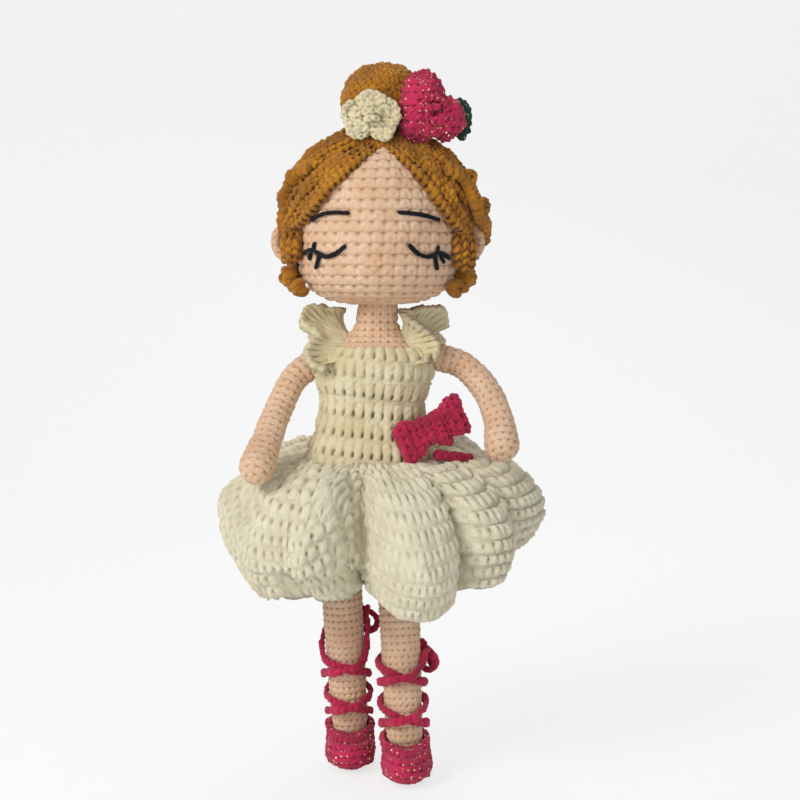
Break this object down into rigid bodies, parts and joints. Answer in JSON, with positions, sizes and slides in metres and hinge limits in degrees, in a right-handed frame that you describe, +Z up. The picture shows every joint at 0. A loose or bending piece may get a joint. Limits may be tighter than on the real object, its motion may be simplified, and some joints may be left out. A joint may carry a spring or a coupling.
{
  "type": "crochet doll",
  "caption": "Stuffed crochet ballerina doll with hair bun, flared cream dress with frills, waist bow and laced pink shoes; head, arms and legs move.",
  "frame": {"origin": "on the ground at the middle of the width and depth, under the neck axis", "axes": "+Z up, -Y out of the face, +X to the side of the waist bow"},
  "size_m": [0.1078, 0.0943, 0.23],
  "materials": {
    "skin_yarn": "single crochet in light skin coloured cotton, matt",
    "hair_yarn": "laid chain strands and single crochet in golden brown cotton, matt",
    "cream_yarn": "double crochet in cream milk cotton, matt",
    "pink_yarn": "crochet in deep pink cotton, matt",
    "pink_glitter_yarn": "crochet in deep pink cotton with a fine gold glitter thread",
    "green_glitter_yarn": "crochet in dark green cotton with a glitter thread",
    "black_thread": "stitched black embroidery thread, slight sheen",
    "filling": "white polyester fibre filling"
  },
  "bodies": {
    "trunk": {"torso": "skin_yarn", "torso_stuffing": "filling", "bodice": "cream_yarn", "skirt": "cream_yarn", "left_ruffle": "cream_yarn", "right_ruffle": "cream_yarn", "bow_band": "pink_yarn", "bow_wrap": "pink_yarn", "bow_tail_long": "pink_yarn", "bow_tail_short": "pink_yarn"},
    "head": {"head": "skin_yarn", "head_stuffing": "filling", "left_brow": "black_thread", "right_brow": "black_thread", "left_eyelid": "black_thread", "right_eyelid": "black_thread", "hair_cap": "hair_yarn", "hair_swoop_left": "hair_yarn", "hair_swoop_right": "hair_yarn", "hair_back": "hair_yarn", "side_lock_left": "hair_yarn", "side_lock_right": "hair_yarn", "curls_left": "hair_yarn", "curls_right": "hair_yarn", "left_ear": "skin_yarn", "right_ear": "skin_yarn", "hair_bun": "hair_yarn", "hair_bun_stuffing": "filling", "pink_rose": "pink_glitter_yarn", "white_flower": "cream_yarn", "green_leaf": "green_glitter_yarn"},
    "left_arm": {"left_arm": "skin_yarn", "left_arm_stuffing": "filling"},
    "left_leg": {"left_leg": "skin_yarn", "left_leg_stuffing": "filling", "left_shoe": "pink_glitter_yarn", "left_lacing_under": "pink_yarn", "left_lacing_over": "pink_yarn", "left_lacing_bow": "pink_yarn"},
    "right_arm": {"right_arm": "skin_yarn", "right_arm_stuffing": "filling"},
    "right_leg": {"right_leg": "skin_yarn", "right_leg_stuffing": "filling", "right_shoe": "pink_glitter_yarn", "right_lacing_under": "pink_yarn", "right_lacing_over": "pink_yarn", "right_lacing_bow": "pink_yarn"}
  },
  "joints": [
    {"name": "neck_turn", "type": "hinge", "parent": "trunk", "child": "head", "pos_m": [0, 0, 0.1521], "axis": [0, 0, 1], "range_deg": [-25, 25], "stiffness_Nm_per_rad": 0.01},
    {"name": "left_shoulder_swing", "type": "hinge", "parent": "trunk", "child": "left_arm", "pos_m": [-0.0204, 0, 0.1338], "axis": [-1, 0, 0], "range_deg": [0, 75]},
    {"name": "right_shoulder_swing", "type": "hinge", "parent": "trunk", "child": "right_arm", "pos_m": [0.0204, 0, 0.1338], "axis": [-1, 0, 0], "range_deg": [0, 75]},
    {"name": "left_hip_bend", "type": "hinge", "parent": "trunk", "child": "left_leg", "pos_m": [-0.0135, 0, 0.084], "axis": [-1, 0, 0], "range_deg": [-20, 30], "stiffness_Nm_per_rad": 0.6},
    {"name": "right_hip_bend", "type": "hinge", "parent": "trunk", "child": "right_leg", "pos_m": [0.0055, 0, 0.084], "axis": [-1, 0, 0], "range_deg": [-20, 30], "stiffness_Nm_per_rad": 0.6}
  ]
}
